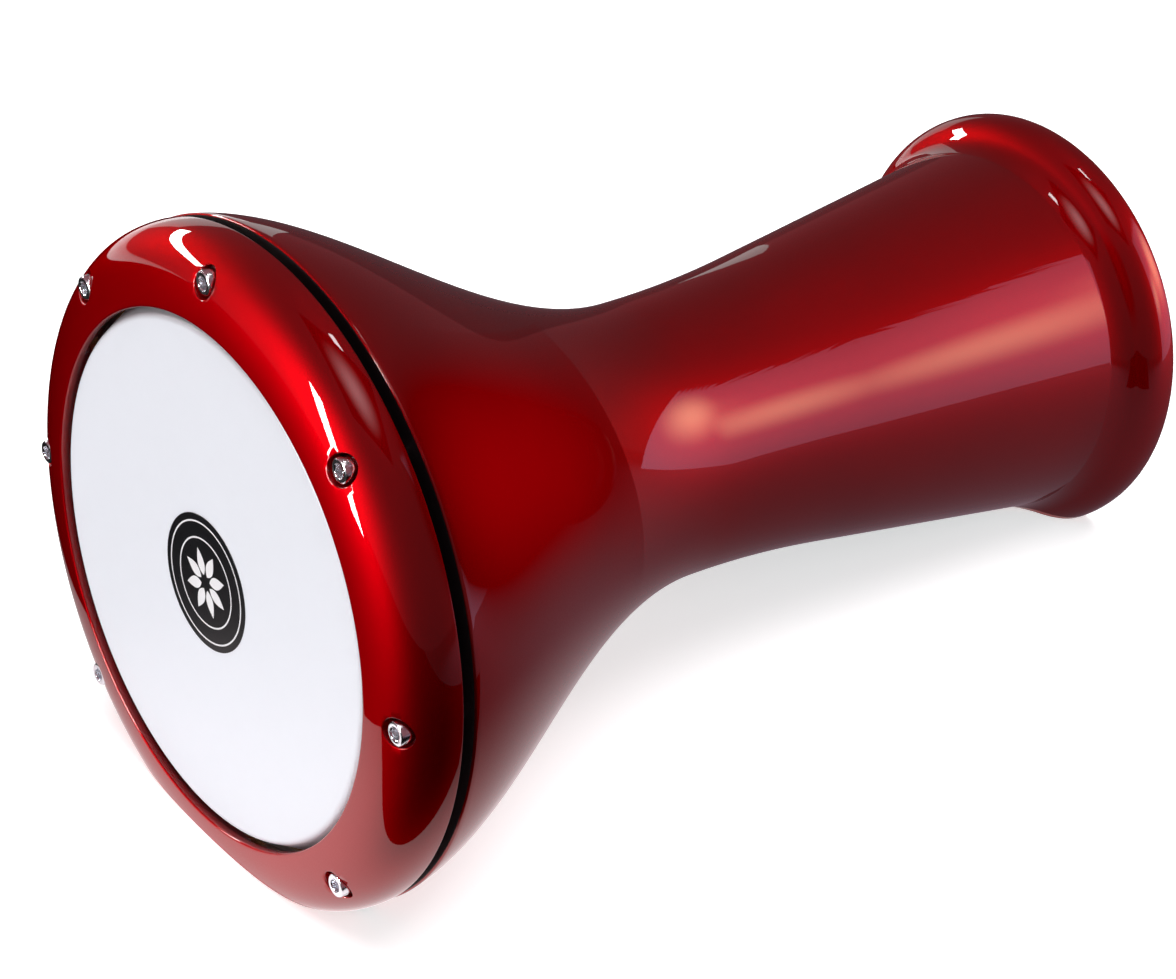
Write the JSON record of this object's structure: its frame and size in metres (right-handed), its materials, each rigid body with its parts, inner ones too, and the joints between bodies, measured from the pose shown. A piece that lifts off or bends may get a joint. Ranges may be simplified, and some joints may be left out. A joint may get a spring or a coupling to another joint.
{
  "type": "goblet drum",
  "caption": "Goblet-shaped hand drum with a cast shell, a synthetic head and a bolted tuning ring that slides to set the pitch.",
  "frame": {"origin": "on the drum's axis in the plane of the foot, at the bottom centre of the bounding box", "axes": "+Z along the drum's axis from the foot to the playing head; +X through the first tension bolt"},
  "size_m": [0.28, 0.28, 0.449],
  "materials": {
    "candy_lacquer": "clear-coated candy red lacquer on cast aluminium, high gloss",
    "head_film": "cool white polyester film, satin gloss",
    "bare_aluminium": "extruded, bare",
    "hoop_resin": "cast epoxy, semi-matt",
    "label_vinyl": "black vinyl with a plain white ornament",
    "zinc_steel": "bright zinc plate",
    "insert_brass": "machined"
  },
  "bodies": {
    "drum_shell": {"shell": "candy_lacquer", "head_film": "head_film", "head_label": "label_vinyl", "insert_1": "insert_brass", "insert_2": "insert_brass", "insert_3": "insert_brass", "insert_4": "insert_brass", "insert_5": "insert_brass", "insert_6": "insert_brass", "insert_7": "insert_brass", "insert_8": "insert_brass"},
    "tension_ring": {"tuning_ring": "candy_lacquer", "head_hoop": "bare_aluminium", "hoop_resin": "hoop_resin", "washer_1": "zinc_steel", "washer_2": "zinc_steel", "washer_3": "zinc_steel", "washer_4": "zinc_steel", "washer_5": "zinc_steel", "washer_6": "zinc_steel", "washer_7": "zinc_steel", "washer_8": "zinc_steel"},
    "screw_1": {"bolt_1": "zinc_steel"},
    "screw_2": {"bolt_2": "zinc_steel"},
    "screw_3": {"bolt_3": "zinc_steel"},
    "screw_4": {"bolt_4": "zinc_steel"},
    "screw_5": {"bolt_5": "zinc_steel"},
    "screw_6": {"bolt_6": "zinc_steel"},
    "screw_7": {"bolt_7": "zinc_steel"},
    "screw_8": {"bolt_8": "zinc_steel"}
  },
  "joints": [
    {"name": "ring_travel", "type": "slide", "parent": "drum_shell", "child": "tension_ring", "axis": [0, 0, -1], "range_m": [-0.002, 0.003]},
    {"name": "bolt_turn_1", "type": "hinge", "parent": "tension_ring", "child": "screw_1", "pos_m": [0.1271, 0, 0.43], "axis": [0, 0, -1], "range_deg": [-721, 1081]},
    {"name": "bolt_turn_2", "type": "hinge", "parent": "tension_ring", "child": "screw_2", "pos_m": [0.08987, 0.08987, 0.43], "axis": [0, 0, -1], "range_deg": [-721, 1081]},
    {"name": "bolt_turn_3", "type": "hinge", "parent": "tension_ring", "child": "screw_3", "pos_m": [0, 0.1271, 0.43], "axis": [0, 0, -1], "range_deg": [-721, 1081]},
    {"name": "bolt_turn_4", "type": "hinge", "parent": "tension_ring", "child": "screw_4", "pos_m": [-0.08987, 0.08987, 0.43], "axis": [0, 0, -1], "range_deg": [-721, 1081]},
    {"name": "bolt_turn_5", "type": "hinge", "parent": "tension_ring", "child": "screw_5", "pos_m": [-0.1271, 0, 0.43], "axis": [0, 0, -1], "range_deg": [-721, 1081]},
    {"name": "bolt_turn_6", "type": "hinge", "parent": "tension_ring", "child": "screw_6", "pos_m": [-0.08987, -0.08987, 0.43], "axis": [0, 0, -1], "range_deg": [-721, 1081]},
    {"name": "bolt_turn_7", "type": "hinge", "parent": "tension_ring", "child": "screw_7", "pos_m": [0, -0.1271, 0.43], "axis": [0, 0, -1], "range_deg": [-721, 1081]},
    {"name": "bolt_turn_8", "type": "hinge", "parent": "tension_ring", "child": "screw_8", "pos_m": [0.08987, -0.08987, 0.43], "axis": [0, 0, -1], "range_deg": [-721, 1081]}
  ],
  "couplings": [
    {"joint": "bolt_turn_1", "follows": "ring_travel", "rad_per_m": 6283.2},
    {"joint": "bolt_turn_2", "follows": "ring_travel", "rad_per_m": 6283.2},
    {"joint": "bolt_turn_3", "follows": "ring_travel", "rad_per_m": 6283.2},
    {"joint": "bolt_turn_4", "follows": "ring_travel", "rad_per_m": 6283.2},
    {"joint": "bolt_turn_5", "follows": "ring_travel", "rad_per_m": 6283.2},
    {"joint": "bolt_turn_6", "follows": "ring_travel", "rad_per_m": 6283.2},
    {"joint": "bolt_turn_7", "follows": "ring_travel", "rad_per_m": 6283.2},
    {"joint": "bolt_turn_8", "follows": "ring_travel", "rad_per_m": 6283.2}
  ]
}
